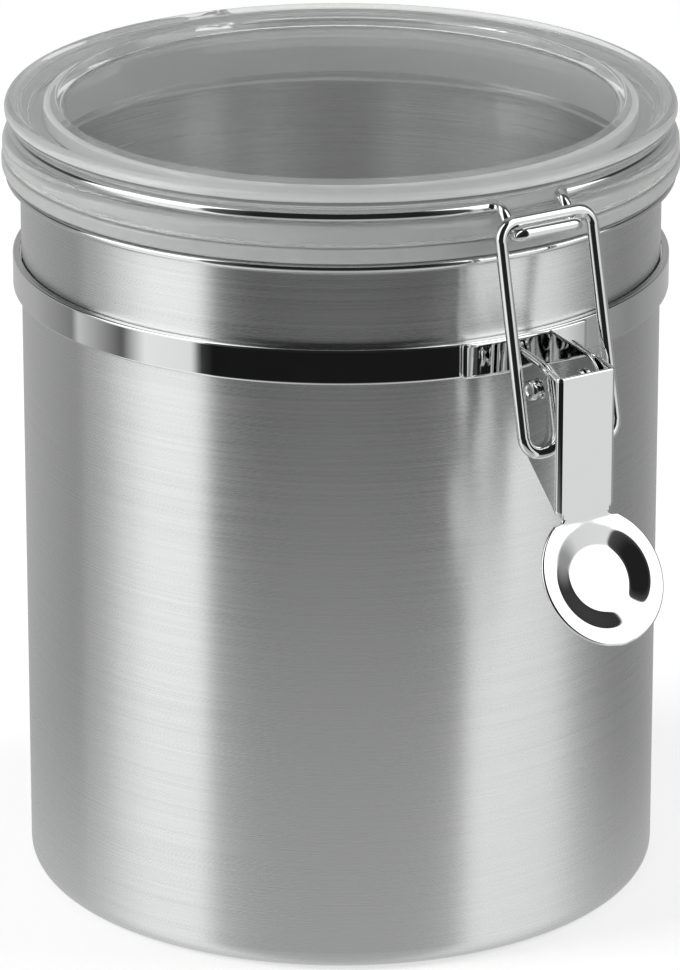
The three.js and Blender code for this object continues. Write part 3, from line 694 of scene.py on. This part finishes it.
def pale_silicone():
    """Milky silicone: satin, with light passing a little way in and a fine mottle."""
    material, nodes, links, shader = new_material("pale_silicone")
    place = nodes.new("ShaderNodeTexCoord")
    mottle = nodes.new("ShaderNodeTexNoise")
    mottle.inputs["Scale"].default_value = 240.0
    links.new(place.outputs["Object"], mottle.inputs["Vector"])
    tone = nodes.new("ShaderNodeValToRGB")
    tone.color_ramp.elements[0].color = SILICONE_DARK
    tone.color_ramp.elements[1].color = SILICONE_PALE
    links.new(mottle.outputs["Fac"], tone.inputs["Fac"])
    links.new(tone.outputs["Color"], shader.inputs["Base Color"])
    rough = nodes.new("ShaderNodeMapRange")
    rough.inputs["To Min"].default_value = 0.28
    rough.inputs["To Max"].default_value = 0.4
    links.new(mottle.outputs["Fac"], rough.inputs["Value"])
    links.new(rough.outputs["Result"], shader.inputs["Roughness"])
    shader.inputs["Transmission Weight"].default_value = 0.5
    shader.inputs["IOR"].default_value = SILICONE_IOR
    return material


STEEL = brushed_steel(grain_group())
CHROME = bright_steel("bright_steel", 0.03)
WIRE_CHROME = bright_steel("bright_wire", 0.02)
RIM_CLEAR = clear_acrylic("rim_acrylic", 0.02, 0.82, 0.97)
WINDOW_CLEAR = clear_acrylic("window_acrylic", 0.015, 1.0, 0.99)
PLUG_CLEAR = clear_acrylic("plug_acrylic", 0.03, 0.14, 0.98)
EDGE_CLEAR = clear_acrylic("edge_acrylic", 0.2, 0.05, 0.98)
SILICONE = pale_silicone()

make_piece("can_body", body_shell(), "can", ["body_shell"], "body_steel", STEEL)
make_piece("neck_strap", neck_band(), "can", ["neck_band"], "bright_steel", CHROME)
make_piece("clamp_bracket", latch_bracket(), "can", ["latch_bracket"], "bright_steel", CHROME)
make_piece("rivet_left", latch_rivet(-1), "can", ["latch_rivet_left"], "bright_steel", CHROME)
make_piece("rivet_right", latch_rivet(1), "can", ["latch_rivet_right"], "bright_steel", CHROME)
make_piece("rear_hinge", hinge_bracket(), "can", ["hinge_bracket"], "bright_steel", CHROME)
make_piece("clear_lid", lid(), "lid_assembly", ["lid"], "clear_lid",
           RIM_CLEAR, WINDOW_CLEAR, PLUG_CLEAR, EDGE_CLEAR)
make_piece("seal_ring", lid_gasket(), "lid_assembly", ["lid_gasket"], "gasket", SILICONE)
make_piece("ring_wire", lid_wire(), "lid_assembly", ["lid_wire"], "bright_steel", WIRE_CHROME)
make_piece("clamp_lever", latch_lever(), "lever", ["latch_lever"], "bright_steel", CHROME)
make_piece("bail", bail_wire(), "bail", ["bail_wire"], "bright_steel", WIRE_CHROME)


def staged(name, shell, material):
    """A mesh of the studio, which isn't part of the object."""
    points, quads = shell
    mesh = bpy.data.meshes.new(name)
    mesh.from_pydata((points * MM).tolist(), [], quads.tolist())
    mesh.materials.append(material)
    thing = bpy.data.objects.new(name, mesh)
    bpy.context.scene.collection.objects.link(thing)
    return thing


def floor_white():
    """Floor paper: partly its own white, so that it meets the background, and for the rest lit diffuse
    that takes the object's shadow."""
    material, _, _, shader = new_material("floor_white")
    shader.inputs["Base Color"].default_value = FLOOR_TONE
    shader.inputs["Roughness"].default_value = 0.9
    shader.inputs["Specular IOR Level"].default_value = 0.0
    shader.inputs["Emission Color"].default_value = (1, 1, 1, 1)
    shader.inputs["Emission Strength"].default_value = FLOOR_GLOW
    return material


def studio_cards():
    """Soft boxes and dark gaps round the table, seen only in reflections and through the lid. Tone by
    the angle round from the camera's side, from one ramp for low directions, one for high ones and one
    for the band that upright mirrors show, under a dark roof."""
    material, nodes, links, _ = new_material("studio_cards")
    nodes.clear()
    place = nodes.new("ShaderNodeTexCoord")
    turn = nodes.new("ShaderNodeMapping")
    turn.inputs["Rotation"].default_value = (0, 0, CAMERA_TURN)
    links.new(place.outputs["Object"], turn.inputs["Vector"])
    split = nodes.new("ShaderNodeSeparateXYZ")
    links.new(turn.outputs["Vector"], split.inputs["Vector"])
    ahead = nodes.new("ShaderNodeMath")
    ahead.operation = "MULTIPLY"
    ahead.inputs[1].default_value = -1.0
    links.new(split.outputs["Y"], ahead.inputs[0])
    angle = nodes.new("ShaderNodeMath")
    angle.operation = "ARCTAN2"
    links.new(split.outputs["X"], angle.inputs[0])
    links.new(ahead.outputs[0], angle.inputs[1])
    share = nodes.new("ShaderNodeMapRange")
    share.inputs["From Min"].default_value = -math.pi
    share.inputs["From Max"].default_value = math.pi
    links.new(angle.outputs[0], share.inputs["Value"])
    ramps = []
    for stops in (LOW_TONES, HIGH_TONES, MIRROR_TONES):
        ramp = nodes.new("ShaderNodeValToRGB")
        for _ in stops[2:]:
            ramp.color_ramp.elements.new(0.5)
        for element, (degrees, grey) in zip(ramp.color_ramp.elements, stops):
            element.position = (degrees + 180) / 360
            element.color = (grey, grey, grey, 1)
        links.new(share.outputs["Result"], ramp.inputs["Fac"])
        ramps.append(ramp)
    rise = nodes.new("ShaderNodeMapRange")
    rise.interpolation_type = "SMOOTHSTEP"
    rise.inputs["From Min"].default_value = STUDIO_RADIUS * MM * math.sin(HORIZON_LOW)
    rise.inputs["From Max"].default_value = STUDIO_RADIUS * MM * math.sin(HORIZON_HIGH)
    links.new(split.outputs["Z"], rise.inputs["Value"])
    blend = nodes.new("ShaderNodeMix")
    blend.data_type = "RGBA"
    links.new(rise.outputs["Result"], blend.inputs["Factor"])
    links.new(ramps[0].outputs["Color"], blend.inputs["A"])
    links.new(ramps[1].outputs["Color"], blend.inputs["B"])
    below = nodes.new("ShaderNodeMath")
    below.operation = "ADD"
    below.inputs[1].default_value = -STUDIO_RADIUS * MM * math.sin(MIRROR_LEVEL)
    links.new(split.outputs["Z"], below.inputs[0])
    off = nodes.new("ShaderNodeMath")
    off.operation = "ABSOLUTE"
    links.new(below.outputs[0], off.inputs[0])
    band = nodes.new("ShaderNodeMapRange")
    band.interpolation_type = "SMOOTHSTEP"
    band.inputs["From Min"].default_value = STUDIO_RADIUS * MM * MIRROR_CORE
    band.inputs["From Max"].default_value = STUDIO_RADIUS * MM * MIRROR_EDGE
    band.inputs["To Min"].default_value = 1.0
    band.inputs["To Max"].default_value = 0.0
    links.new(off.outputs[0], band.inputs["Value"])
    level = nodes.new("ShaderNodeMix")
    level.data_type = "RGBA"
    links.new(band.outputs["Result"], level.inputs["Factor"])
    links.new(blend.outputs["Result"], level.inputs["A"])
    links.new(ramps[2].outputs["Color"], level.inputs["B"])
    roof = nodes.new("ShaderNodeMapRange")
    roof.interpolation_type = "SMOOTHSTEP"
    roof.inputs["From Min"].default_value = STUDIO_RADIUS * MM * math.sin(ROOF_LOW)
    roof.inputs["From Max"].default_value = STUDIO_RADIUS * MM * math.sin(ROOF_HIGH)
    links.new(split.outputs["Z"], roof.inputs["Value"])
    closed = nodes.new("ShaderNodeMix")
    closed.data_type = "RGBA"
    closed.inputs["B"].default_value = (ROOF_TONE, ROOF_TONE, ROOF_TONE, 1)
    links.new(roof.outputs["Result"], closed.inputs["Factor"])
    links.new(level.outputs["Result"], closed.inputs["A"])
    glow = nodes.new("ShaderNodeEmission")
    glow.inputs["Strength"].default_value = STUDIO_LEVEL
    links.new(closed.outputs["Result"], glow.inputs["Color"])
    target = nodes.new("ShaderNodeOutputMaterial")
    links.new(glow.outputs["Emission"], target.inputs["Surface"])
    return material


def table_glow():
    """The table in front of the can as metal shows it: a pale glow that fades out with the distance."""
    material, nodes, links, _ = new_material("table_glow")
    nodes.clear()
    place = nodes.new("ShaderNodeTexCoord")
    middle = nodes.new("ShaderNodeVectorMath")
    middle.operation = "ADD"
    middle.inputs[1].default_value = (
        GLOW_SHIFT * MM * math.sin(CAMERA_TURN), GLOW_SHIFT * MM * math.cos(CAMERA_TURN), 0)
    links.new(place.outputs["Object"], middle.inputs[0])
    reach = nodes.new("ShaderNodeVectorMath")
    reach.operation = "LENGTH"
    links.new(middle.outputs["Vector"], reach.inputs[0])
    near = nodes.new("ShaderNodeMapRange")
    near.interpolation_type = "SMOOTHSTEP"
    near.inputs["From Min"].default_value = GLOW_CORE * MM
    near.inputs["From Max"].default_value = GLOW_EDGE * MM
    near.inputs["To Min"].default_value = GLOW_SHARE
    near.inputs["To Max"].default_value = 0.0
    links.new(reach.outputs["Value"], near.inputs["Value"])
    clear = nodes.new("ShaderNodeBsdfTransparent")
    glow = nodes.new("ShaderNodeEmission")
    glow.inputs["Strength"].default_value = GLOW_LEVEL
    blend = nodes.new("ShaderNodeMixShader")
    links.new(near.outputs["Result"], blend.inputs["Fac"])
    links.new(clear.outputs["BSDF"], blend.inputs[1])
    links.new(glow.outputs["Emission"], blend.inputs[2])
    target = nodes.new("ShaderNodeOutputMaterial")
    links.new(blend.outputs["Shader"], target.inputs["Surface"])
    return material


def floor_disc():
    """A round floor: circles of growing radius about the can, at the height of its base."""
    radius = np.array(FLOOR_RADII)
    return turned(np.stack([radius, np.full(len(radius), -FLOOR_DROP)], -1), False, 96)


def glow_disc():
    """A disc on the table about the can, just above the floor."""
    radius = np.linspace(0, GLOW_RADIUS, 12)
    return turned(np.stack([radius, np.full(len(radius), GLOW_LIFT)], -1), False, 96)


def studio_sphere():
    """A sphere far outside the scene: a half circle turned about Z."""
    return turned(arc((0, 0), STUDIO_RADIUS, -np.pi / 2, np.pi / 2, 64), False, 180)


def reflected_only(thing, through):
    """Shows a studio piece to reflections, and to what is seen through the lid where asked."""
    thing.visible_camera = False
    thing.visible_diffuse = False
    thing.visible_shadow = False
    thing.visible_transmission = through


floor = staged("floor", floor_disc(), floor_white())
floor.visible_glossy = False
reflected_only(staged("cards", studio_sphere(), studio_cards()), True)
reflected_only(staged("glow", glow_disc(), table_glow()), False)


def studio_world():
    """White surround: full white to the camera, to reflections and through glass, and a plain level as
    light on matt surfaces."""
    world = bpy.data.worlds.new("studio")
    world.use_nodes = True
    nodes, links = world.node_tree.nodes, world.node_tree.links
    path = nodes.new("ShaderNodeLightPath")
    seen = nodes.new("ShaderNodeMath")
    seen.operation = "MAXIMUM"
    links.new(path.outputs["Is Camera Ray"], seen.inputs[0])
    links.new(path.outputs["Is Glossy Ray"], seen.inputs[1])
    through = nodes.new("ShaderNodeMath")
    through.operation = "MAXIMUM"
    links.new(seen.outputs[0], through.inputs[0])
    links.new(path.outputs["Is Transmission Ray"], through.inputs[1])
    level = nodes.new("ShaderNodeMapRange")
    level.inputs["To Min"].default_value = WORLD_LEVEL
    level.inputs["To Max"].default_value = 1.0
    links.new(through.outputs[0], level.inputs["Value"])
    backdrop = nodes["Background"]
    backdrop.inputs["Color"].default_value = (1, 1, 1, 1)
    links.new(level.outputs["Result"], backdrop.inputs["Strength"])
    bpy.context.scene.world = world


def soft_lamp(name, place, size, power):
    """A square area lamp that faces the middle of the can."""
    data = bpy.data.lights.new(name, "AREA")
    data.size = size
    data.energy = power
    lamp = bpy.data.objects.new(name, data)
    bpy.context.scene.collection.objects.link(lamp)
    away = np.array(place) - LAMP_AIM
    lamp.location = place
    lamp.rotation_euler = (
        math.atan2(math.hypot(away[0], away[1]), away[2]), 0, math.atan2(away[1], away[0]) + math.pi / 2)
    lamp.visible_glossy = False


studio_world()
for lamp_settings in LAMPS:
    soft_lamp(*lamp_settings)


def photo_camera():
    """The camera on the photograph's side: its distance, height and pitch from the can's axis, with the
    focal length that gives the picture's scale."""
    data = bpy.data.cameras.new("camera")
    data.sensor_fit = "AUTO"
    data.sensor_width = SENSOR
    data.lens = SENSOR * CAMERA_FOCAL / IMAGE_HEIGHT
    data.clip_start, data.clip_end = CAMERA_NEAR * MM, CAMERA_FAR * MM
    camera = bpy.data.objects.new("camera", data)
    camera.location = (
        -CAMERA_DISTANCE * MM * math.sin(CAMERA_TURN),
        -CAMERA_DISTANCE * MM * math.cos(CAMERA_TURN),
        CAMERA_HEIGHT * MM,
    )
    camera.rotation_euler = (math.pi / 2 - CAMERA_PITCH, 0, -CAMERA_TURN + CAMERA_YAW)
    bpy.context.scene.collection.objects.link(camera)
    bpy.context.scene.camera = camera


photo_camera()
bpy.context.scene.view_settings.view_transform = "Standard"
